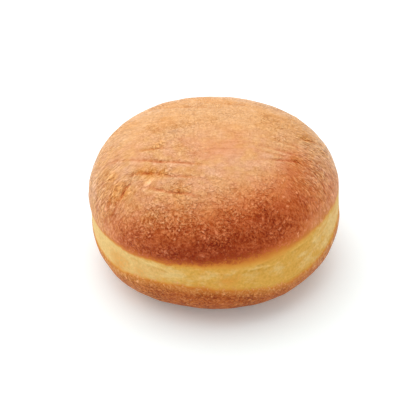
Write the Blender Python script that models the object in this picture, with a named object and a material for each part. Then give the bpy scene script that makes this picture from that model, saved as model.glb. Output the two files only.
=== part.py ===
"""A filled doughnut of yeast dough, fried on one side and then on the other, as one solid.

Metres, +Z up. The origin lies under the middle of the flat foot that it rests on, and -Y is
its front. A quad ball is pushed out to the turned profile of the risen dough, and kneaded:
the plan is a little out of round, the pale ring is pinched between the two crusts, and the
crusts have their swellings, dimples and creases.
"""

from math import atan2, cos, exp, hypot, pi, radians, sin, tan

import bmesh
import bpy
from mathutils import Vector, noise

# Driving dimensions
DIAMETER = 0.092
HEIGHT = 0.051
BELLY_LEVEL = 0.0247  # where the dough is widest
FOOT_CUT = 0.004  # how much of the lower half's own curve the flat foot takes off
FOOT_EASING = 0.0012  # height over which the foot's edge rounds up from the flat
DOME_SQUARENESS = 2.6  # 2 is an ellipse, and more is a flatter top with rounder shoulders
BASE_SQUARENESS = 2.9

# Waves round the axis: (how many to a turn, height, azimuth of the first crest in degrees).
# Those of the plan are shares of the radius, and those of the ring's edges are lengths.
PLAN_WAVES = ((2, 0.0105, 87), (3, 0.0034, 19))
RING_TOP_LEVEL = 0.0291
RING_TOP_WAVES = ((1, 0.0018, 10), (2, 0.0016, -42), (3, 0.0003, 5))
RING_FOOT_LEVEL = 0.0173
RING_FOOT_WAVES = ((1, 0.0010, 16), (2, 0.0003, -1), (3, 0.0014, 8), (4, 0.0012, -6))

# Places where the dough has risen further, or less: (azimuth in degrees, level, height)
BULGE_SPREAD = 0.013
BULGES = (
    (-134, 0.011, 0.0011),
    (-118, 0.006, -0.0004),
    (-58, 0.008, 0.0006),
    (-28, 0.012, 0.0004),
    (0, 0.022, 0.0004),
    (170, 0.036, -0.0006),
)

# The pale ring is pinched in along its middle, and nipped where the lower crust begins.
PINCH_DEPTH, PINCH_SPREAD = 0.0008, 0.006
NIP_DEPTH, NIP_SPREAD = 0.0003, 0.0012

# Rise and fall of the skin: (height, length of one swelling, place in the noise)
SWELLINGS = (
    (0.00040, 0.024, Vector((3.1, 0.4, 7.7))),
    (0.00022, 0.009, Vector((8.6, 5.2, 1.3))),
    (0.00010, 0.005, Vector((1.9, 2.8, 4.5))),
)

# Creases of the upper crust, seen from above: (x, y, length, bearing in degrees, depth)
CREASE_SPREAD = 0.0013
DOME_CREASES = (
    (-0.0212, -0.0062, 0.012, -4, 0.00025),
    (-0.0180, -0.0133, 0.028, -16, 0.00042),
    (-0.0182, -0.0205, 0.022, -16, 0.00038),
    (-0.0150, -0.0273, 0.016, -20, 0.00042),
    (-0.0306, -0.0223, 0.009, 48, 0.00045),
    (-0.0120, 0.0215, 0.024, -12, 0.00025),
    (0.0229, -0.0064, 0.014, -8, 0.00028),
    (0.0240, -0.0115, 0.014, 11, 0.00028),
    (0.0340, 0.0053, 0.010, 23, 0.00038),
)

# Folds in the pale ring: (azimuth of the middle, span, both in degrees, level, climb from
# one end to the other, depth)
FOLD_SPREAD = 0.0010
RING_FOLDS = (
    (-73, 18, 0.0256, 0.0010, 0.00040),
    (-50, 14, 0.0272, 0.0010, 0.00030),
    (-112, 24, 0.0230, -0.0016, 0.00030),
    (38, 22, 0.0245, -0.0012, 0.00030),
    (150, 26, 0.0232, 0.0015, 0.00035),
)

FACES_ALONG_EDGE = 32  # of the quad ball, which has six sides
BALL_FLATTENING = 0.85  # evens out the faces between the shoulders and the top


def wave_sum(waves, azimuth):
    """Sum of the waves round the axis, at this azimuth in radians."""
    return sum(height * cos(count * (azimuth - radians(crest))) for count, height, crest in waves)


def ring_top(azimuth):
    """Level at which the upper crust ends and the pale ring begins."""
    return RING_TOP_LEVEL + wave_sum(RING_TOP_WAVES, azimuth)


def ring_foot(azimuth):
    """Level at which the pale ring ends and the lower crust begins."""
    return RING_FOOT_LEVEL + wave_sum(RING_FOOT_WAVES, azimuth)


def ridge(distance, spread):
    """1 on a line, falling away smoothly on both sides of it."""
    return exp(-((distance / spread) ** 2))


def turned_profile(direction):
    """Radius and level of the risen dough in a direction seen from the belly's middle."""
    outward, upward = hypot(direction.x, direction.y), direction.z
    if upward > 0:
        half_height, squareness = HEIGHT - BELLY_LEVEL, DOME_SQUARENESS
    else:
        half_height, squareness = BELLY_LEVEL + FOOT_CUT, BASE_SQUARENESS
    share = (2 * outward / DIAMETER) ** squareness + (abs(upward) / half_height) ** squareness
    reach = share ** (-1 / squareness)
    return reach * outward, BELLY_LEVEL + reach * upward


def pinch_at(azimuth, level):
    """How far the pale ring is drawn in at this place."""
    middle = (ring_top(azimuth) + ring_foot(azimuth)) / 2
    pinch = PINCH_DEPTH * ridge(level - middle, PINCH_SPREAD)
    return pinch + NIP_DEPTH * ridge(level - ring_foot(azimuth), NIP_SPREAD)


def turn_between(azimuth, middle):
    """The turn in radians from a middle, given in degrees, to this azimuth."""
    return (azimuth - radians(middle) + pi) % (2 * pi) - pi


def swelling_at(point):
    """How far the skin stands proud here."""
    return sum(height * noise.noise(point / length + place) for height, length, place in SWELLINGS)


def bulge_at(azimuth, radius, level):
    """How far the dough has risen further here."""
    height = 0
    for middle, bulge_level, highest in BULGES:
        away = hypot(radius * turn_between(azimuth, middle), level - bulge_level)
        height += highest * ridge(away, BULGE_SPREAD)
    return height


def dome_crease_at(point):
    """Depth of the upper crust's creases here, each fading out towards its ends."""
    depth = 0
    for x, y, length, bearing, deepest in DOME_CREASES:
        along = Vector((cos(radians(bearing)), sin(radians(bearing))))
        offset = Vector((point.x - x, point.y - y))
        across = offset.cross(along)
        depth += deepest * ridge(across, CREASE_SPREAD) * ridge(offset.dot(along), length / 2)
    return depth


def ring_fold_at(azimuth, level):
    """Depth of the pale ring's folds here."""
    depth = 0
    for middle, span, fold_level, climb, deepest in RING_FOLDS:
        share = turn_between(azimuth, middle) / radians(span)
        across = level - fold_level - climb * share
        depth += deepest * ridge(across, FOLD_SPREAD) * ridge(2 * share, 1)
    return depth


def above_foot(level):
    """The level, flattened to zero below the foot's eased edge."""
    if level > FOOT_EASING:
        return level
    return max(level + FOOT_EASING, 0) ** 2 / (4 * FOOT_EASING)


def kneaded(direction):
    """The point of the doughnut's skin in this direction from the belly's middle."""
    azimuth = atan2(direction.y, direction.x)
    radius, level = turned_profile(direction)
    radius *= 1 + wave_sum(PLAN_WAVES, azimuth)
    point = Vector((radius * cos(azimuth), radius * sin(azimuth), level))
    inward = pinch_at(azimuth, level) + ring_fold_at(azimuth, level)
    if level > ring_top(azimuth):
        inward += dome_crease_at(point)
    outward = swelling_at(point) + bulge_at(azimuth, radius, level)
    point += (outward - inward) * direction
    point.z = above_foot(point.z)
    return point


def quad_ball():
    """A ball of even quads: a cube, divided, its grid lines set at even angles."""
    ball = bmesh.new()
    bmesh.ops.create_cube(ball, size=2)
    cuts = FACES_ALONG_EDGE - 1
    bmesh.ops.subdivide_edges(ball, edges=ball.edges[:], cuts=cuts, use_grid_fill=True)
    for corner in ball.verts:
        even = Vector([tan(part * pi / 4) for part in corner.co])
        even.z *= BALL_FLATTENING
        corner.co = even.normalized()
    return ball


def merge_foot(body):
    """The faces of the flat foot made into one."""
    foot = [face for face in body.faces if all(corner.co.z == 0 for corner in face.verts)]
    bmesh.ops.dissolve_faces(body, faces=foot, use_verts=True)


def skin(name, colour, roughness):
    """A dough surface: its linear colour and how matt it is."""
    material = bpy.data.materials.new(name)
    material.use_nodes = True
    shader = material.node_tree.nodes["Principled BSDF"]
    shader.inputs["Base Color"].default_value = (*colour, 1)
    shader.inputs["Roughness"].default_value = roughness
    shader.inputs["Metallic"].default_value = 0
    return material


def face_is_pale(face):
    """Whether a face lies in the unfried ring."""
    middle = face.calc_center_median()
    azimuth = atan2(middle.y, middle.x)
    return ring_foot(azimuth) < middle.z < ring_top(azimuth)


def make_doughnut():
    """The whole doughnut, one closed skin with the crust's and the ring's materials."""
    body = quad_ball()
    for corner in body.verts:
        corner.co = kneaded(corner.co.copy())
    for face in body.faces:
        face.smooth = True
        face.material_index = int(face_is_pale(face))
    merge_foot(body)
    bmesh.ops.recalc_face_normals(body, faces=body.faces[:])
    mesh = bpy.data.meshes.new("doughnut")
    body.to_mesh(mesh)
    body.free()
    mesh.materials.append(skin("browned_crust", (0.55, 0.22, 0.075), 0.5))
    mesh.materials.append(skin("pale_ring", (0.72, 0.46, 0.15), 0.6))
    doughnut = bpy.data.objects.new("doughnut", mesh)
    bpy.context.scene.collection.objects.link(doughnut)


for leftover in list(bpy.data.objects):
    bpy.data.objects.remove(leftover, do_unlink=True)
make_doughnut()
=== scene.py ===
from math import cos, pi, radians, sin, tan

import bmesh
import bpy
import numpy as np
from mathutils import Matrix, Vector, noise
from mathutils.bvhtree import BVHTree


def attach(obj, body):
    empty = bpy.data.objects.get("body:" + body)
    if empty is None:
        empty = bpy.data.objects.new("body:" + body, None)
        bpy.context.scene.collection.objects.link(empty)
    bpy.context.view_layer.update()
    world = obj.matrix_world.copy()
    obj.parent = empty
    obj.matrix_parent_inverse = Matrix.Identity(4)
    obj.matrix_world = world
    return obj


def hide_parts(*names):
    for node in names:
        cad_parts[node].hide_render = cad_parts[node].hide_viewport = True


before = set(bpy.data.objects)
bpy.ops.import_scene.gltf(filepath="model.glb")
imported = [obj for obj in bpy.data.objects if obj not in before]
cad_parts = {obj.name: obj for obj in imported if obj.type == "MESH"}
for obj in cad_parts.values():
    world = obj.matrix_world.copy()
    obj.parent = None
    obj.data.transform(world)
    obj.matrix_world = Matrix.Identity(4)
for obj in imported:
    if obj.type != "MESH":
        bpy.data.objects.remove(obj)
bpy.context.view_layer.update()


# The risen dough: one piece of soft yeast dough, proved until it is a cushion and then fried.
# Its skin is a ball of fine quads, sent out from the belly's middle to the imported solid, whose
# facets are first rounded off by subdivision. It stays flat where it rests.
FACES_ALONG_EDGE = 128
BALL_FLATTENING = 0.85  # evens out the faces between the shoulders and the top
BELLY_LEVEL = 0.0247
WELD_DISTANCE = 0.000001
ROUNDING_LEVELS = 2
FLAT_ENOUGH = 0.00002

facets = bmesh.new()
facets.from_mesh(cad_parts["doughnut"].data)
bmesh.ops.remove_doubles(facets, verts=facets.verts, dist=WELD_DISTANCE)
bmesh.ops.join_triangles(facets, faces=facets.faces, angle_face_threshold=pi, angle_shape_threshold=pi)
rounded_mesh = bpy.data.meshes.new("rounded_solid")
facets.to_mesh(rounded_mesh)
facets.free()
rounded = bpy.data.objects.new("rounded_solid", rounded_mesh)
bpy.context.scene.collection.objects.link(rounded)
rounding = rounded.modifiers.new("rounding", "SUBSURF")
rounding.levels = ROUNDING_LEVELS
solid = BVHTree.FromObject(rounded, bpy.context.evaluated_depsgraph_get())
bpy.data.objects.remove(rounded)

ball = bmesh.new()
bmesh.ops.create_cube(ball, size=2)
bmesh.ops.subdivide_edges(ball, edges=ball.edges[:], cuts=FACES_ALONG_EDGE - 1, use_grid_fill=True)
for corner in ball.verts:
    even = Vector([tan(part * pi / 4) for part in corner.co])
    even.z *= BALL_FLATTENING
    corner.co = solid.ray_cast(Vector((0, 0, BELLY_LEVEL)), even)[0]
    if corner.co.z < FLAT_ENOUGH:
        corner.co.z = 0
skin_mesh = bpy.data.meshes.new("doughnut_skin")
ball.to_mesh(skin_mesh)
ball.free()
skin_mesh.shade_smooth()
doughnut = bpy.data.objects.new("doughnut_skin", skin_mesh)
bpy.context.scene.collection.objects.link(doughnut)

corner_count = len(skin_mesh.vertices)
points = np.empty(corner_count * 3)
skin_mesh.vertices.foreach_get("co", points)
points = points.reshape(-1, 3)
normals = np.empty(corner_count * 3)
skin_mesh.vertices.foreach_get("normal", normals)
normals = normals.reshape(-1, 3)
level = points[:, 2]
radius = np.hypot(points[:, 0], points[:, 1])
azimuth = np.arctan2(points[:, 1], points[:, 0])
latitude = np.degrees(np.arctan2(level - BELLY_LEVEL, radius))


# The three bands of the skin: each half browns as it lies in the fat, and the ring between them
# floats clear and stays pale. The ring's edges wander, and it lies a little below the crusts.
RING_TOP_LEVEL = 0.0291
RING_TOP_WAVES = ((1, 0.0018, 10), (2, 0.0016, -42), (3, 0.0003, 5))
RING_FOOT_LEVEL = 0.0173
RING_FOOT_WAVES = ((1, 0.0010, 16), (2, 0.0003, -1), (3, 0.0014, 8), (4, 0.0012, -6))
TOP_EDGE_WANDER = ((0.0005, 0.0060), (0.0004, 0.0024), (0.0003, 0.0012))
FOOT_EDGE_WANDER = ((0.0004, 0.0045), (0.0004, 0.0019))
UPPER_CRUST_EDGE = (-0.0005, 0.0015)  # over the ring's top edge: where the crust begins and is whole
LOWER_CRUST_EDGE = (-0.0002, 0.0006)
RING_DRAWN_IN = 0.00020
NIP_DEPTH, NIP_SPREAD = 0.00030, 0.0006


def wave_sum(waves):
    """Sum of the waves round the axis, each (how many to a turn, height, azimuth of a crest)."""
    return sum(height * np.cos(count * (azimuth - radians(crest))) for count, height, crest in waves)


def noise_on_skin(length, place, stretch=(1, 1, 1)):
    """Rise and fall over the skin, from -1 to 1, with swellings of this length.

    The place is where in the endless noise it is taken from, so that no two are alike.
    """
    scaled = points / (np.array(stretch) * length) + place
    return np.array([noise.noise(Vector(point)) for point in scaled])


def wander(steps, place):
    """How far an edge strays: (distance, length of one bend) for each size of bend."""
    return sum(distance * noise_on_skin(length, place) for distance, length in steps)


def ease(values, low, high):
    """0 below low and 1 above high, with a smooth way between."""
    share = np.clip((values - low) / (high - low), 0, 1)
    return share * share * (3 - 2 * share)


def ridge(distance, spread):
    """1 on a line, falling away smoothly on both sides of it."""
    return np.exp(-((distance / spread) ** 2))


def turn_from(middle):
    """The turn in radians from this azimuth, given in degrees, at every point."""
    return (azimuth - radians(middle) + pi) % (2 * pi) - pi


above_ring = level - RING_TOP_LEVEL - wave_sum(RING_TOP_WAVES) + wander(TOP_EDGE_WANDER, 4.1)
below_ring = RING_FOOT_LEVEL + wave_sum(RING_FOOT_WAVES) - level + wander(FOOT_EDGE_WANDER, 9.7)
upper_share = ease(above_ring, *UPPER_CRUST_EDGE)
lower_share = ease(below_ring, *LOWER_CRUST_EDGE)
outward = -RING_DRAWN_IN * (1 - upper_share - lower_share)
outward -= NIP_DEPTH * ridge(below_ring + NIP_SPREAD, NIP_SPREAD)


# The crust's pebbling: steam lifts the skin into low bumps as it fries. On the rims they are
# drawn out down the side, and across the top the stretched skin sets in fine wrinkles.
PEBBLES = ((0.00007, 0.0040), (0.00005, 0.0020), (0.00003, 0.0013))
RIM_STRETCH = (1, 1, 2.2)
WRINKLE_HEIGHT, WRINKLE_LENGTH = 0.00007, 0.0022
WRINKLE_STRETCH = (4.5, 1, 1.5)
WRINKLED_ABOVE = (25, 40)  # latitudes in degrees

pebbling = sum(height * noise_on_skin(length, 2.3, RIM_STRETCH) for height, length in PEBBLES)
outward += pebbling * (upper_share + lower_share)
wrinkled = upper_share * ease(latitude, *WRINKLED_ABOVE)
outward += WRINKLE_HEIGHT * noise_on_skin(WRINKLE_LENGTH, 6.4, WRINKLE_STRETCH) * wrinkled


# Creases of the upper crust, where the skin was folded when the dough was shaped, seen from
# above: (x, y, length, bearing in degrees, depth). Each has a soft lip on its far side.
CREASE_SPREAD = 0.0006
LIP_DISTANCE, LIP_SHARE = 0.0012, 0.5
CREASE_WANDER, CREASE_BEND = 0.0003, 0.0045
CREASE_STRENGTH, CREASE_UNEVENNESS, CREASE_PATCH = 0.85, 0.4, 0.0030
FULLY_MARKED_DEPTH = 0.00025
DOME_CREASES = (
    (-0.0212, -0.0062, 0.010, -4, 0.00018),
    (-0.0262, -0.0106, 0.015, -24, 0.00022),
    (-0.0145, -0.0145, 0.019, -13, 0.00024),
    (-0.0240, -0.0180, 0.012, -12, 0.00018),
    (-0.0140, -0.0214, 0.016, -14, 0.00022),
    (-0.0195, -0.0258, 0.008, -24, 0.00018),
    (-0.0130, -0.0287, 0.013, -20, 0.00025),
    (-0.0306, -0.0223, 0.006, 48, 0.00026),
    (-0.0120, 0.0215, 0.020, -12, 0.00014),
    (0.0060, 0.0235, 0.016, -4, 0.00012),
    (0.0265, -0.0015, 0.011, -6, 0.00012),
    (0.0229, -0.0064, 0.011, -8, 0.00018),
    (0.0210, -0.0092, 0.010, -6, 0.00012),
    (0.0240, -0.0115, 0.013, 11, 0.00018),
    (0.0340, 0.0053, 0.008, 23, 0.00022),
)

creases = np.zeros(corner_count)
# In the finish these marks make each crease browner and darken it with painted shade, and pale its
# nearer side with a painted highlight.
crease_marks = np.zeros(corner_count)  # above 0 along a crease, and below 0 on its nearer side
crease_wander = CREASE_WANDER * noise_on_skin(CREASE_BEND, 3.3)
crease_breaks = CREASE_STRENGTH + CREASE_UNEVENNESS * noise_on_skin(CREASE_PATCH, 8.8)
for x, y, length, bearing, depth in DOME_CREASES:
    away_x, away_y = points[:, 0] - x, points[:, 1] - y
    along = away_x * cos(radians(bearing)) + away_y * sin(radians(bearing))
    across = away_y * cos(radians(bearing)) - away_x * sin(radians(bearing)) + crease_wander
    fading = ridge(along, length / 2) * upper_share * crease_breaks
    mark = depth / FULLY_MARKED_DEPTH
    crease_marks += mark * ridge(across, CREASE_SPREAD) * fading
    crease_marks -= LIP_SHARE * mark * ridge(across + LIP_DISTANCE, CREASE_SPREAD) * fading
    creases += depth * ridge(across, CREASE_SPREAD) * fading
    outward += LIP_SHARE * depth * ridge(across - LIP_DISTANCE, CREASE_SPREAD) * fading
outward -= creases


# Blisters: small bubbles in the crust, lighter than what is round them:
# (azimuth in degrees, level, radius, height)
BLISTERS = (
    (-95, 0.0326, 0.0010, 0.00032),
    (-93, 0.0376, 0.0006, 0.00018),
    (-89, 0.0396, 0.0006, 0.00018),
    (-85, 0.0393, 0.0006, 0.00016),
    (-111, 0.0320, 0.0010, 0.00030),
    (-134, 0.0463, 0.0009, 0.00030),
    (-148, 0.0355, 0.0007, 0.00018),
    (-66, 0.0408, 0.0006, 0.00018),
    (-161, 0.0432, 0.0006, 0.00020),
    (15, 0.0395, 0.0008, 0.00024),
    (40, 0.0420, 0.0007, 0.00020),
    (92, 0.0390, 0.0008, 0.00024),
    (128, 0.0350, 0.0008, 0.00024),
)
CLEAR_OF_AXIS = 0.02  # nearer the axis an azimuth says little

blisters = np.zeros(corner_count)
for middle, blister_level, size, height in BLISTERS:
    away = np.hypot(radius * turn_from(middle), (level - blister_level) / np.cos(np.radians(latitude)))
    blister = ridge(away, size) * (radius > CLEAR_OF_AXIS)
    blisters = np.maximum(blisters, blister)
    outward += height * blister


# Folds of the pale ring, where the soft dough is squeezed between the two crusts: (azimuth
# of the middle, span, both in degrees, level, climb from one end to the other, depth)
FOLD_SPREAD = 0.0005
FOLD_LIP_DISTANCE, FOLD_LIP_SHARE = 0.0010, 0.6
FOLD_WANDER_SHARE = 0.5
DEEPEST_FOLD = 0.0003
RING_FOLDS = (
    (-70.5, 13, 0.0242, -0.0006, 0.00030),
    (-69.5, 9, 0.0261, 0.0018, 0.00028),
    (-86, 15, 0.0238, -0.0004, 0.00014),
    (-50, 9, 0.0272, 0.0010, 0.00020),
    (-112, 24, 0.0230, -0.0016, 0.00014),
    (-96, 20, 0.0212, 0.0006, 0.00012),
    (-36, 18, 0.0255, 0.0020, 0.00014),
    (38, 22, 0.0245, -0.0012, 0.00022),
    (90, 26, 0.0225, 0.0010, 0.00022),
    (150, 26, 0.0232, 0.0015, 0.00024),
)
RELIEF_ABOVE_FOOT = (0.0002, 0.0025)  # levels between which the relief fades in

ring_share = (1 - upper_share) * (1 - lower_share)
# Painted light for the ring's folds: a painted highlight on the lip over each fold and painted shade
# in the fold.
fold_shade_and_highlight = np.zeros(corner_count)  # above 0 on the lip over a fold, and below 0 in the fold
for middle, span, fold_level, climb, depth in RING_FOLDS:
    share = turn_from(middle) / radians(span)
    across = level - fold_level - climb * share + FOLD_WANDER_SHARE * crease_wander
    fading = ridge(2 * share, 1) * ring_share * crease_breaks
    fold = ridge(across, FOLD_SPREAD) * fading
    lip = ridge(across - FOLD_LIP_DISTANCE, FOLD_SPREAD) * fading
    outward += depth * (FOLD_LIP_SHARE * lip - fold)
    fold_shade_and_highlight += depth / DEEPEST_FOLD * (lip - fold)

outward *= ease(level, *RELIEF_ABOVE_FOOT)
moved = points + normals * outward[:, None]
moved[:, 2] = np.maximum(moved[:, 2], 0)
skin_mesh.vertices.foreach_set("co", moved.ravel())
skin_mesh.update()


# How brown the upper crust is: places that lay longer in the fat, each given by (azimuth,
# latitude from the belly's middle, breadth, height, all in degrees, and how brown, up to 1)
BROWNED_PLACES = (
    (-96, 8, 44, 19, 0.98),
    (-50, 24, 32, 15, 0.55),
    (-20, 37, 16, 9, 0.30),
    (-130, 8, 18, 10, 0.16),
    (-12, 14, 18, 9, 0.24),
    (-38, 6, 12, 9, -0.10),
    (-85, 74, 75, 15, 0.28),
    (-165, 70, 30, 10, 0.08),
    (-100, 44, 24, 7, 0.07),
    (-128, 24, 16, 8, -0.08),
    (100, 8, 40, 14, 0.40),
)
LEAST_BROWN = 0.05


def at_azimuth(middle, breadth):
    """1 at this azimuth, falling away over this breadth, both in degrees."""
    return ridge(np.degrees(turn_from(middle)), breadth)


def at_place(middle, middle_latitude, breadth, height):
    """1 at a place on the skin, falling away over its breadth and height, all in degrees."""
    return at_azimuth(middle, breadth) * ridge(latitude - middle_latitude, height)


browning = np.full(corner_count, LEAST_BROWN)
for *where, brown in BROWNED_PLACES:
    browning += brown * at_place(*where)

# The lower crust browns towards the table: (azimuth, breadth, both in degrees, how brown)
LOWER_BROWNED_SIDES = ((-86, 46, 0.24), (100, 60, 0.30))
LOWER_LEAST_BROWN = 0.52
EDGE_BROWN_SHARE = 0.55
LOWER_DEEPENING = 0.0045  # below the ring, where it has reached its full brown

lower_browning = np.full(corner_count, LOWER_LEAST_BROWN)
for middle, breadth, brown in LOWER_BROWNED_SIDES:
    lower_browning += brown * at_azimuth(middle, breadth)
lower_browning *= EDGE_BROWN_SHARE + (1 - EDGE_BROWN_SHARE) * ease(below_ring, 0, LOWER_DEEPENING)
browning = np.where(below_ring > above_ring, lower_browning, browning)

# Crumbled places, where the thin skin broke into golden crumbs, seen from above: (x, y, reach)
CRUMBLED_PLACES = (
    (-0.0258, -0.0172, 0.0022),
    (-0.0215, -0.0182, 0.0024),
    (-0.0180, -0.0194, 0.0020),
    (-0.0350, -0.0147, 0.0022),
    (-0.0335, -0.0205, 0.0034),
    (-0.0308, -0.0228, 0.0026),
    (-0.0199, -0.0045, 0.0024),
    (-0.0120, -0.0290, 0.0024),
    (0.0290, -0.0100, 0.0022),
    (0.0330, 0.0050, 0.0018),
    (0.0395, 0.0030, 0.0022),
    (-0.0200, 0.0270, 0.0030),
    (0.0250, 0.0260, 0.0026),
)
CRUMBLED_UNEVENNESS, CRUMBLED_PATCH = 0.5, 0.0022
CRUMBLED_BROWNING = 0.12

crumbled = np.zeros(corner_count)
crumbled_edges = 1 + CRUMBLED_UNEVENNESS * noise_on_skin(CRUMBLED_PATCH, 2.6)
for x, y, reach in CRUMBLED_PLACES:
    away = np.hypot(points[:, 0] - x, points[:, 1] - y)
    crumbled = np.maximum(crumbled, ridge(away, reach * crumbled_edges) * upper_share)
browning += CRUMBLED_BROWNING * crumbled

# How coarse the grain is: full on the rims, and less on the smooth middle of the top, at the
# back, on the left rim, where the crust is browned and where it meets the ring
SMOOTH_MIDDLE, SMOOTH_SPREAD = (0.006, -0.008), 0.020
SMOOTH_ABOVE, SMOOTHEST = (20, 40), 0.25  # latitudes in degrees
UNEVEN_GRAIN, UNEVEN_LENGTH = 0.6, 0.008
BROWNED_GRAIN_LOSS = 0.3
RIM_GRAIN_GAIN, TOP_ABOVE = 0.35, (18, 42)
BACK_GRAIN_LOSS, BACK_BEHIND = 0.25, (0, 0.02)
LEFT_GRAIN_LOSS, LEFT_RIM = 0.4, (-170, 36, 32, 20)  # azimuth, latitude, breadth, height
RIGHT_GRAIN_GAIN, RIGHT_SHOULDER = 0.25, (2, 42, 38, 18)
LOWER_GRAIN = 0.95
EDGE_GRAIN_LOSS, EDGE_WIDTH = 0.55, 0.0028
WIDER_EDGE, WIDER_EDGE_AT, WIDER_EDGE_BREADTH = 0.0045, -48, 26
CRUMBLED_GRAIN_GAIN = 0.7

away_from_smooth = np.hypot(points[:, 0] - SMOOTH_MIDDLE[0], points[:, 1] - SMOOTH_MIDDLE[1])
smoothness = ridge(away_from_smooth, SMOOTH_SPREAD) * ease(latitude, *SMOOTH_ABOVE)
coarseness = 1 - (1 - SMOOTHEST) * smoothness
coarseness *= 1 + UNEVEN_GRAIN * noise_on_skin(UNEVEN_LENGTH, 5.1)
coarseness *= 1 - BROWNED_GRAIN_LOSS * np.clip(browning, 0, 1)
coarseness *= 1 + RIM_GRAIN_GAIN * (1 - ease(latitude, *TOP_ABOVE))
coarseness *= 1 - BACK_GRAIN_LOSS * ease(points[:, 1], *BACK_BEHIND)
coarseness *= 1 - LEFT_GRAIN_LOSS * at_place(*LEFT_RIM)
coarseness *= 1 + RIGHT_GRAIN_GAIN * at_place(*RIGHT_SHOULDER)
coarseness = np.where(below_ring > above_ring, LOWER_GRAIN * coarseness, coarseness)
edge_width = EDGE_WIDTH + WIDER_EDGE * at_azimuth(WIDER_EDGE_AT, WIDER_EDGE_BREADTH)
coarseness *= 1 - EDGE_GRAIN_LOSS * ridge(above_ring, edge_width)
coarseness += CRUMBLED_GRAIN_GAIN * crumbled

# Down the sides the grain is drawn out, though not at the front: a place in a space measured
# round the belly and down the side, and how far the grain is drawn out.
BELLY_RADIUS = 0.045
DRAWN_OUT = 1.9
FRONT_AT, DRAWN_BESIDE_FRONT, DRAWN_BELOW = -90, (25, 65), (32, 46)  # all in degrees

drawn_place = np.column_stack([
    BELLY_RADIUS * np.cos(azimuth),
    BELLY_RADIUS * np.sin(azimuth),
    BELLY_RADIUS * np.radians(latitude) / DRAWN_OUT,
])
from_front = np.abs(np.degrees(turn_from(FRONT_AT)))
drawn_share = ease(from_front, *DRAWN_BESIDE_FRONT) * (1 - ease(latitude, *DRAWN_BELOW))

# Where the ring is toasted orange: at both crusts, widest at the front on the right, and in a
# few spots: (azimuth in degrees, level, reach)
HALO_WIDTH, HALO_FULL_AT = 0.0018, 0.0003
LOWER_HALO_WIDTH, LOWER_HALO_FULL_AT = 0.0013, 0.0008
WIDER_HALO, WIDEST_AT, WIDEST_BREADTH = 0.0036, -70, 24
TOASTED_SPOTS = (
    (-84, 0.0212, 0.0028),
    (-137, 0.0185, 0.0048),
    (-124, 0.0190, 0.0030),
    (-60, 0.0285, 0.0024),
    (75, 0.0200, 0.0028),
)
TOASTED_MOST = 0.65
TOASTED_UNEVENNESS, TOASTED_PATCH = 0.4, 0.003

halo_width = HALO_WIDTH + WIDER_HALO * at_azimuth(WIDEST_AT, WIDEST_BREADTH)
halo = np.clip(1 + (above_ring - HALO_FULL_AT) / halo_width, 0, 1)
lower_halo = np.clip(1 + (below_ring - LOWER_HALO_FULL_AT) / LOWER_HALO_WIDTH, 0, 1)
halo = np.maximum(halo, lower_halo)
toasted = np.zeros(corner_count)
toasted_edges = 1 + TOASTED_UNEVENNESS * noise_on_skin(TOASTED_PATCH, 7.7)
for middle, spot_level, reach in TOASTED_SPOTS:
    away = np.hypot(radius * turn_from(middle), level - spot_level)
    toasted = np.maximum(toasted, TOASTED_MOST * ridge(away, reach * toasted_edges))

# Where the ring is like cream: most of all along its middle and on the left, and not at the
# front, where it is yellowest: (azimuth, breadth, both in degrees, how much less)
YELLOWEST_AT, YELLOW_BREADTH, YELLOWEST_LOSS = -76, 42, 0.8
LESS_CREAM_SIDES = ((-10, 35, 0.45), (95, 60, 0.40))
MIDDLE_CREAM, MIDDLE_MEAN = 0.3, 0.4
MIDDLE_DROP, MIDDLE_SPREAD = 0.0016, 0.0075

cream = 1 - YELLOWEST_LOSS * ridge(np.degrees(turn_from(YELLOWEST_AT)) ** 2, YELLOW_BREADTH ** 2)
for middle, breadth, loss in LESS_CREAM_SIDES:
    cream -= loss * at_azimuth(middle, breadth)
along_middle = ridge(above_ring - below_ring + MIDDLE_DROP, MIDDLE_SPREAD)
cream += MIDDLE_CREAM * (along_middle - MIDDLE_MEAN)

# The back half of the top is more golden than the front, whose rim is ruddier towards the ring.
GOLDEN_BEHIND = (-0.012, 0.016)
RUDDIEST_AT, RUDDY_BREADTH, RUDDY_BELOW = -70, 52, (34, 50)  # all in degrees
RUDDY_SHARE, RUDDY_EDGE = 0.6, 0.005  # how much is everywhere, and how far the rest reaches up

golden = ease(points[:, 1], *GOLDEN_BEHIND)
ruddy = at_azimuth(RUDDIEST_AT, RUDDY_BREADTH) * (1 - ease(latitude, *RUDDY_BELOW))
ruddy *= RUDDY_SHARE + (1 - RUDDY_SHARE) * ridge(above_ring, RUDDY_EDGE)

# All of these are kept on the skin, one number or one place for each corner, for the finish.
skin_values = {
    "above_ring": above_ring,
    "below_ring": below_ring,
    "browning": browning,
    "coarseness": coarseness,
    "crease_marks": crease_marks,
    "blisters": blisters,
    "crumbled": crumbled,
    "golden": golden,
    "ruddy": ruddy,
    "fold_shade_and_highlight": fold_shade_and_highlight,
    "drawn_place": drawn_place,
    "drawn_share": drawn_share,
    "halo": halo,
    "toasted": toasted,
    "cream": cream,
}
for name, values in skin_values.items():
    kind, field = ("FLOAT", "value") if values.ndim == 1 else ("FLOAT_VECTOR", "vector")
    stored = skin_mesh.attributes.new(name, kind, "POINT")
    stored.data.foreach_set(field, values.astype(np.float32).ravel())


# The dough's finish: golden to red-brown crust with a fine grain of paler tan bubbles, painted
# highlights on their tops and painted shade in the gaps between them, a thin shine of fat on it, and a
# matt pale yellow ring with orange-toasted edges, painted shade in its folds and painted highlights on
# their lips.
NOISE_MEAN = 0.5


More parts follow.
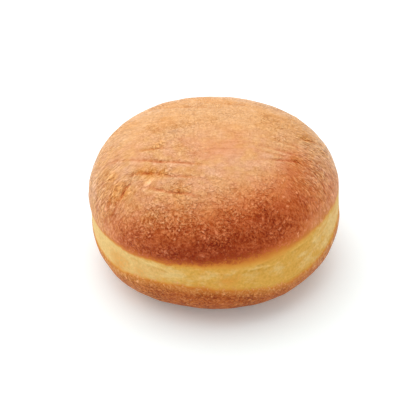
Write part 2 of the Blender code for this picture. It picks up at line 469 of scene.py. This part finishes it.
def add(tree, kind, feeds, **settings):
    """A new shader node, with the values or the sockets that feed its inputs."""
    node = tree.nodes.new("ShaderNode" + kind)
    for setting, value in settings.items():
        setattr(node, setting, value)
    for socket, value in feeds.items():
        if isinstance(value, bpy.types.NodeSocket):
            tree.links.new(value, node.inputs[socket])
        else:
            node.inputs[socket].default_value = value
    return node


def figure(tree, operation, *values):
    """The result of one sum, such as ADD or MULTIPLY, on these values."""
    return add(tree, "Math", dict(enumerate(values)), operation=operation).outputs[0]


def between(tree, value, low, high):
    """0 at low and before it, and 1 at high and past it, with a smooth way between."""
    feeds = {"Value": value, "From Min": low, "From Max": high}
    return add(tree, "MapRange", feeds, interpolation_type="SMOOTHSTEP").outputs[0]


def mixed(tree, share, first, second):
    """The first colour, and the second one by this share."""
    return add(tree, "Mix", {0: share, 6: first, 7: second}, data_type="RGBA").outputs[2]


def stretched(tree, place, stretch):
    """A place in a space that is drawn out this far in x, y and z."""
    feeds = {0: place, 1: stretch}
    return add(tree, "VectorMath", feeds, operation="DIVIDE").outputs[0]


def speckle(tree, place, length, detail=2.0, roughness=0.5):
    """Cloudy noise with patches of this length."""
    feeds = {"Vector": place, "Scale": 1 / length, "Detail": detail, "Roughness": roughness}
    return add(tree, "TexNoise", feeds).outputs["Fac"]


def new_group(name, inputs, outputs):
    """An empty group of shader nodes with these sockets, and its two ends."""
    group = bpy.data.node_groups.new(name, "ShaderNodeTree")
    for socket, kind, value in inputs:
        entry = group.interface.new_socket(socket, in_out="INPUT", socket_type="NodeSocket" + kind)
        if value is not None:
            entry.default_value = value
    for socket, kind in outputs:
        group.interface.new_socket(socket, in_out="OUTPUT", socket_type="NodeSocket" + kind)
    return group, group.nodes.new("NodeGroupInput"), group.nodes.new("NodeGroupOutput")


def use_group(tree, group, feeds):
    """A group set into a material, with what feeds its sockets."""
    return add(tree, "Group", feeds, node_tree=group).outputs


# Fried grain: small bubbles crowded side by side and bent into curls, with gaps between them.
# Height runs from 0 in the gaps to about 1 on the highest bubbles. Beads are the few larger ones.
BEND_LENGTH, BEND = 0.0015, 0.0013
BUBBLE_SIZES = ((0.0012, 0.34), (0.0007, 0.30), (0.00045, 0.24))
BUBBLE_EDGE, BUBBLE_TOP = 0.85, 0.1
CURL_LENGTH, CURL_WIDTH, CURL_SHARE = 0.0016, 0.10, 0.26
BEAD_SPACING, BEAD_EDGE, BEAD_TOP = 0.0022, 0.28, 0.18
BEAD_CLUSTER, BEAD_CLUSTER_EDGE = 0.005, (0.46, 0.60)

grain, grain_in, grain_out = new_group(
    "fried_grain", (("Place", "Vector", None),), (("Height", "Float"), ("Beads", "Float")))
straight = grain_in.outputs["Place"]
bend_feeds = {"Vector": straight, "Scale": 1 / BEND_LENGTH, "Detail": 1.0}
bend = add(grain, "TexNoise", bend_feeds).outputs["Color"]
bend = add(grain, "VectorMath", {0: bend, 1: (NOISE_MEAN,) * 3}, operation="SUBTRACT").outputs[0]
bend_feeds = {0: bend, 1: (BEND, BEND, BEND), 2: straight}
bent = add(grain, "VectorMath", bend_feeds, operation="MULTIPLY_ADD").outputs[0]

curl = figure(grain, "SUBTRACT", speckle(grain, bent, CURL_LENGTH, detail=1.0), NOISE_MEAN)
curl = between(grain, figure(grain, "ABSOLUTE", curl), CURL_WIDTH, 0.0)
bubble_height = figure(grain, "MULTIPLY", curl, CURL_SHARE)
for size, height in BUBBLE_SIZES:
    cells = add(grain, "TexVoronoi", {"Vector": bent, "Scale": 1 / size})
    bubble = between(grain, cells.outputs["Distance"], BUBBLE_EDGE, BUBBLE_TOP)
    bubble_height = figure(grain, "MULTIPLY_ADD", bubble, height, bubble_height)
grain.links.new(bubble_height, grain_out.inputs["Height"])

bead_cells = add(grain, "TexVoronoi", {"Vector": bent, "Scale": 1 / BEAD_SPACING})
round_beads = between(grain, bead_cells.outputs["Distance"], BEAD_EDGE, BEAD_TOP)
bead_clusters = between(grain, speckle(grain, straight, BEAD_CLUSTER), *BEAD_CLUSTER_EDGE)
grain.links.new(figure(grain, "MULTIPLY", round_beads, bead_clusters), grain_out.inputs["Beads"])

# A colour made lighter or darker by equal steps of red, green and blue as they are seen.
SEEN_POWER = 2.2

lighter, lighter_in, lighter_out = new_group(
    "lighter_by_steps",
    (("Color", "Color", None), ("Lightness", "Float", 0.0)),
    (("Color", "Color"),),
)
seen_feeds = {"Color": lighter_in.outputs["Color"], "Gamma": 1 / SEEN_POWER}
seen = add(lighter, "Gamma", seen_feeds).outputs["Color"]
step_feeds = {0: seen, 1: lighter_in.outputs["Lightness"]}
seen = add(lighter, "VectorMath", step_feeds, operation="ADD").outputs[0]
linear = add(lighter, "Gamma", {"Color": seen, "Gamma": SEEN_POWER}).outputs["Color"]
lighter.links.new(linear, lighter_out.inputs["Color"])

# Crust colour by how brown it is: (browning, linear colour)
CRUST_COLOURS = (
    (0.00, (0.735, 0.380, 0.172)),
    (0.25, (0.695, 0.300, 0.118)),
    (0.50, (0.640, 0.207, 0.066)),
    (0.75, (0.510, 0.112, 0.026)),
    (1.00, (0.340, 0.050, 0.008)),
)

crust, crust_in, crust_out = new_group(
    "crust_colour", (("Browning", "Float", 0.5),), (("Color", "Color"),))
crust_ramp = add(crust, "ValToRGB", {"Fac": crust_in.outputs["Browning"]})
stops = crust_ramp.color_ramp.elements
while len(stops) < len(CRUST_COLOURS):
    stops.new(0.5)
for stop, (position, stop_colour) in zip(stops, CRUST_COLOURS):
    stop.position = position
    stop.color = (*stop_colour, 1)
crust.links.new(crust_ramp.outputs["Color"], crust_out.inputs["Color"])

# Pale dough of the ring: yellow with soft lengthwise clouds of cream, fine crumbs of a lighter cream,
# orange where it is toasted, with painted shade in its folds and a painted highlight on the lip over
# each.
RING_YELLOW = (0.71, 0.375, 0.066, 1)
RING_CREAM = (0.79, 0.522, 0.190, 1)
RING_TOASTED = (0.72, 0.290, 0.040, 1)
CLOUD_LENGTH, CLOUD_STRETCH = 0.0036, (1.4, 1.4, 0.8)
CLOUD_DETAIL, CLOUD_ROUGHNESS = 3.0, 0.6
CREAM_GAIN, EVEN_CREAM, CREAM_EDGE = 0.55, 0.5, (0.31, 0.69)
TOAST_LENGTH, TOAST_SHARE, TOAST_EDGE = 0.0052, 0.30, (0.52, 0.70)
CRUMB_LENGTH, CRUMB_LIGHTNESS, CRUMB_HEIGHT = 0.0009, 0.20, 0.3
TOASTED_CRUMBS = (0.2, 0.6)
FOLD_PAINTED_SHADING = 0.07

pale, pale_in, pale_out = new_group(
    "pale_dough",
    (("Place", "Vector", None), ("Cream", "Float", 0.5), ("Toasted", "Float", 0.0),
     ("Folds", "Float", 0.0)),
    (("Color", "Color"), ("Height", "Float")),
)
pale_place = stretched(pale, pale_in.outputs["Place"], CLOUD_STRETCH)
clouds = speckle(pale, pale_place, CLOUD_LENGTH, CLOUD_DETAIL, CLOUD_ROUGHNESS)
toast_clouds = speckle(pale, pale_place, TOAST_LENGTH, CLOUD_DETAIL, CLOUD_ROUGHNESS)
crumbs = speckle(pale, pale_in.outputs["Place"], CRUMB_LENGTH, roughness=CLOUD_ROUGHNESS)
cream_gain = figure(pale, "SUBTRACT", pale_in.outputs["Cream"], EVEN_CREAM)
creaminess = figure(pale, "MULTIPLY_ADD", cream_gain, CREAM_GAIN, clouds)
pale_colour = mixed(pale, between(pale, creaminess, *CREAM_EDGE), RING_YELLOW, RING_CREAM)
toasting = between(pale, crumbs, *TOASTED_CRUMBS)
toasting = figure(pale, "MULTIPLY", pale_in.outputs["Toasted"], toasting)
toast_clouds = between(pale, toast_clouds, *TOAST_EDGE)
toasting = figure(pale, "MULTIPLY_ADD", toast_clouds, TOAST_SHARE, toasting)
pale_colour = mixed(pale, toasting, pale_colour, RING_TOASTED)
crumb_steps = figure(pale, "SUBTRACT", crumbs, NOISE_MEAN)
crumb_steps = figure(pale, "MULTIPLY", crumb_steps, CRUMB_LIGHTNESS)
crumb_and_fold_shading = figure(pale, "MULTIPLY_ADD", pale_in.outputs["Folds"], FOLD_PAINTED_SHADING, crumb_steps)
pale_lit_feeds = {"Color": pale_colour, "Lightness": crumb_and_fold_shading}
pale_colour = use_group(pale, lighter, pale_lit_feeds)["Color"]
pale_height = figure(pale, "MULTIPLY_ADD", crumbs, CRUMB_HEIGHT, clouds)
pale.links.new(pale_colour, pale_out.inputs["Color"])
pale.links.new(pale_height, pale_out.inputs["Height"])

# The whole skin: upper crust, ring and lower crust, each mixed in where its band lies. The tints
# multiply the crust's colour, and each other pair is where an effect begins and where it is full.
HALO_GOLD, GOLD_EDGE = (0.73, 0.310, 0.045, 1), (0.0, 0.7)
HALO_ORANGE, ORANGE_EDGE = (0.62, 0.185, 0.024, 1), (0.4, 0.95)
GOLDEN_TINT = (1.00, 1.01, 0.88, 1)
ROSY_TINT = (1.00, 0.985, 1.10, 1)
CRUMB_TINT = (1.04, 0.96, 0.56, 1)
BACK_TINT = (1.00, 0.97, 0.76, 1)
RUDDY_TINT = (1.04, 0.87, 0.69, 1)
LOWER_TINT, LOWER_TINT_EDGE = (0.92, 0.95, 0.58, 1), (-0.001, 0.001)
TINT_LENGTH, TINT_EDGE = 0.0045, (0.35, 0.65)
PATCH_LENGTH, PATCH_BROWNING = 0.011, 0.25
MOTTLE_LENGTH, MOTTLE_BROWNING, MOTTLE_LIGHTNESS = 0.0030, 0.20, 0.08
# The grain: its mean height, how much paler its bubble tops are, and the painted highlight on the
# bubble tops with painted shade in the gaps between them.
GRAIN_MEAN, GRAIN_BROWNING, GRAIN_PAINTED_SHADING = 0.46, 0.25, 0.26
WRINKLE_SCALE, WRINKLE_ROUGHNESS = 0.0013, 0.6
# Fine drawn-out wrinkles: painted light and shade that follow them, and their bump.
WRINKLE_PAINTED_SHADING, WRINKLE_RELIEF = 0.11, 0.8
# Creases: browner, darkened with painted shade and with a painted highlight on the nearer side, and
# sunk in the bump.
CREASE_BROWNING, CREASE_PAINTED_SHADING, CREASE_RELIEF = 0.40, -0.04, -0.3
BLISTER_LIGHTNESS, BLISTER_RELIEF = 0.20, 0.4
# Beads, where the crust is browned: a painted highlight on each, and their bump.
BEAD_PAINTED_HIGHLIGHT, BEAD_RELIEF, BEADED_BROWNING = 0.17, 0.4, (0.15, 0.5)
EDGE_RAGGEDNESS = 0.0036
UPPER_EDGE, LOWER_EDGE = (-0.0012, 0.0024), (-0.0004, 0.0022)
RING_ROUGHNESS, CRUST_ROUGHNESS = 0.62, 0.46
DRY_SHINE = 0.1
FAT_SHINE, FAT_ROUGHNESS = 0.4, 0.35
FATTY_BROWNING, FATTY_PATCHES = (0.6, 0.1), (0.35, 0.65)
RING_RELIEF = 0.5
BUMP_DEPTH = 0.0005

dough = bpy.data.materials.new("fried_dough")
dough.use_nodes = True
skin = dough.node_tree
shader = skin.nodes["Principled BSDF"]
skin_place = add(skin, "TexCoord", {}).outputs["Object"]
kept = {stored.name: add(skin, "Attribute", {}, attribute_name=stored.name).outputs["Fac"]
        for stored in skin_mesh.attributes if stored.data_type == "FLOAT"}


def added(start, *terms):
    """The start plus each of the terms, given as (value, its mean, how much it counts)."""
    total = start
    for value, mean, amount in terms:
        total = figure(skin, "MULTIPLY_ADD", figure(skin, "SUBTRACT", value, mean), amount, total)
    return total


even_grain = use_group(skin, grain, {"Place": skin_place})
drawn_attribute = add(skin, "Attribute", {}, attribute_name="drawn_place")
drawn_grain = use_group(skin, grain, {"Place": drawn_attribute.outputs["Vector"]})
grain_feeds = {0: kept["drawn_share"], 2: even_grain["Height"], 3: drawn_grain["Height"]}
grain_height = add(skin, "Mix", grain_feeds).outputs[0]
rise = figure(skin, "SUBTRACT", grain_height, GRAIN_MEAN)
rise = figure(skin, "MULTIPLY", rise, kept["coarseness"])
beaded = between(skin, kept["browning"], *BEADED_BROWNING)
beads = figure(skin, "MULTIPLY", even_grain["Beads"], beaded)
patches = speckle(skin, skin_place, PATCH_LENGTH)
mottle = speckle(skin, skin_place, MOTTLE_LENGTH)
wrinkle_place = stretched(skin, skin_place, WRINKLE_STRETCH)
wrinkles = speckle(skin, wrinkle_place, WRINKLE_SCALE, roughness=WRINKLE_ROUGHNESS)

brownness = added(
    kept["browning"],
    (rise, 0.0, -GRAIN_BROWNING),
    (patches, NOISE_MEAN, -PATCH_BROWNING),
    (mottle, NOISE_MEAN, -MOTTLE_BROWNING),
    (kept["crease_marks"], 0.0, CREASE_BROWNING),
)
# Lightness steps: random mottle and the blisters' paler tone, with painted light: highlights on bubble
# tops and beads, and shade in the grain's gaps, along wrinkles and in creases.
tone_and_painted_shading = added(
    0.0,
    (rise, 0.0, GRAIN_PAINTED_SHADING),
    (mottle, NOISE_MEAN, MOTTLE_LIGHTNESS),
    (wrinkles, NOISE_MEAN, WRINKLE_PAINTED_SHADING),
    (kept["crease_marks"], 0.0, CREASE_PAINTED_SHADING),
    (kept["blisters"], 0.0, BLISTER_LIGHTNESS),
    (beads, 0.0, BEAD_PAINTED_HIGHLIGHT),
)
crust_colour = use_group(skin, crust, {"Browning": brownness})["Color"]
rosiness = between(skin, speckle(skin, skin_place, TINT_LENGTH), *TINT_EDGE)
tint = mixed(skin, rosiness, GOLDEN_TINT, ROSY_TINT)
tint = mixed(skin, kept["golden"], tint, BACK_TINT)
tint = mixed(skin, kept["ruddy"], tint, RUDDY_TINT)
tint = mixed(skin, kept["crumbled"], tint, CRUMB_TINT)
tint = mixed(skin, between(skin, kept["below_ring"], *LOWER_TINT_EDGE), tint, LOWER_TINT)
tinting = add(skin, "Mix", {0: 1.0, 6: crust_colour, 7: tint}, data_type="RGBA", blend_type="MULTIPLY")
lit_feeds = {"Color": tinting.outputs[2], "Lightness": tone_and_painted_shading}
crust_colour = use_group(skin, lighter, lit_feeds)["Color"]

pale_feeds = {"Place": skin_place, "Cream": kept["cream"], "Toasted": kept["toasted"],
              "Folds": kept["fold_shade_and_highlight"]}
pale_outputs = use_group(skin, pale, pale_feeds)
colour = mixed(skin, between(skin, kept["halo"], *GOLD_EDGE), pale_outputs["Color"], HALO_GOLD)
colour = mixed(skin, between(skin, kept["halo"], *ORANGE_EDGE), colour, HALO_ORANGE)
ragged_upper = added(kept["above_ring"], (grain_height, GRAIN_MEAN, EDGE_RAGGEDNESS))
ragged_lower = added(kept["below_ring"], (grain_height, GRAIN_MEAN, EDGE_RAGGEDNESS))
upper_mask = between(skin, ragged_upper, *UPPER_EDGE)
lower_mask = between(skin, ragged_lower, *LOWER_EDGE)
crust_mask = figure(skin, "MAXIMUM", upper_mask, lower_mask)
colour = mixed(skin, crust_mask, colour, crust_colour)
skin.links.new(colour, shader.inputs["Base Color"])

smoother = CRUST_ROUGHNESS - RING_ROUGHNESS
roughness = figure(skin, "MULTIPLY_ADD", crust_mask, smoother, RING_ROUGHNESS)
skin.links.new(roughness, shader.inputs["Roughness"])
shader.inputs["Specular IOR Level"].default_value = DRY_SHINE
shader.inputs["Coat Roughness"].default_value = FAT_ROUGHNESS
fat = figure(skin, "MULTIPLY", between(skin, kept["browning"], *FATTY_BROWNING), FAT_SHINE)
fat = figure(skin, "MULTIPLY", fat, between(skin, patches, *FATTY_PATCHES))
skin.links.new(figure(skin, "MULTIPLY", fat, upper_mask), shader.inputs["Coat Weight"])

relief = added(
    rise,
    (wrinkles, NOISE_MEAN, WRINKLE_RELIEF),
    (kept["crease_marks"], 0.0, CREASE_RELIEF),
    (kept["blisters"], 0.0, BLISTER_RELIEF),
    (beads, 0.0, BEAD_RELIEF),
)
relief = figure(skin, "MULTIPLY", relief, crust_mask)
ring_relief = figure(skin, "MULTIPLY_ADD", crust_mask, -RING_RELIEF, RING_RELIEF)
relief = figure(skin, "MULTIPLY_ADD", pale_outputs["Height"], ring_relief, relief)
bump = add(skin, "Bump", {"Strength": 1.0, "Distance": BUMP_DEPTH, "Height": relief})
skin.links.new(bump.outputs["Normal"], shader.inputs["Normal"])
skin_mesh.materials.append(dough)

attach(doughnut, "root")
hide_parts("doughnut")


# The table: a wide board, painted matt white with a touch of blue, that the doughnut stands on.
# A faint glow of its own keeps the shadow under the doughnut soft and light.
FLOOR_WIDTH = 6
BOARD_WHITE, BOARD_ROUGHNESS = (0.92, 0.97, 0.98, 1), 0.9
BOARD_GLOW_COLOUR, BOARD_GLOW = (0.84, 1, 0.98, 1), 0.15

bpy.ops.mesh.primitive_plane_add(size=FLOOR_WIDTH)
floor = bpy.context.object
floor.name = "floor"
white = bpy.data.materials.new("white_board")
white.use_nodes = True
board_shader = white.node_tree.nodes["Principled BSDF"]
board_shader.inputs["Base Color"].default_value = BOARD_WHITE
board_shader.inputs["Roughness"].default_value = BOARD_ROUGHNESS
board_shader.inputs["Emission Color"].default_value = BOARD_GLOW_COLOUR
board_shader.inputs["Emission Strength"].default_value = BOARD_GLOW
floor.data.materials.append(white)


# The light: one wide, square soft box above the doughnut, behind it and a little to its left,
# in a plain white room.
ROOM_BRIGHTNESS = 0.62
BOX_PLACE, BOX_AIM = Vector((-0.20, 0.28, 0.65)), Vector((0, 0, 0.02))
BOX_WIDTH, BOX_POWER = 1.6, 9.1

room = bpy.data.worlds.new("white_room")
room.use_nodes = True
room.node_tree.nodes["Background"].inputs["Color"].default_value = (1, 1, 1, 1)
room.node_tree.nodes["Background"].inputs["Strength"].default_value = ROOM_BRIGHTNESS
bpy.context.scene.world = room
bpy.context.scene.view_settings.view_transform = "Standard"

soft_light = bpy.data.lights.new("key_box", "AREA")
soft_light.shape = "SQUARE"
soft_light.size = BOX_WIDTH
soft_light.energy = BOX_POWER
soft_box = bpy.data.objects.new("key_box", soft_light)
soft_box.location = BOX_PLACE
soft_box.rotation_euler = (BOX_AIM - BOX_PLACE).to_track_quat("-Z", "Y").to_euler()
bpy.context.scene.collection.objects.link(soft_box)


# The camera: a long lens in front of the doughnut, looking down on it at 36 degrees, and aimed
# a little below its middle and to the left of it.
ELEVATION = 36
DISTANCE = 0.6
FOCAL_LENGTH = 141.9
AIM = Vector((0, 0, 0.022))
AIM_SIDEWAYS, AIM_UP = -0.00136, -0.00302

up = Vector((0, sin(radians(ELEVATION)), cos(radians(ELEVATION))))
towards = Vector((0, cos(radians(ELEVATION)), -sin(radians(ELEVATION))))
camera_data = bpy.data.cameras.new("camera")
camera_data.lens = FOCAL_LENGTH
camera = bpy.data.objects.new("camera", camera_data)
target = AIM + Vector((AIM_SIDEWAYS, 0, 0)) + up * AIM_UP
camera.location = target - towards * DISTANCE
camera.rotation_euler = towards.to_track_quat("-Z", "Y").to_euler()
bpy.context.scene.collection.objects.link(camera)
bpy.context.scene.camera = camera
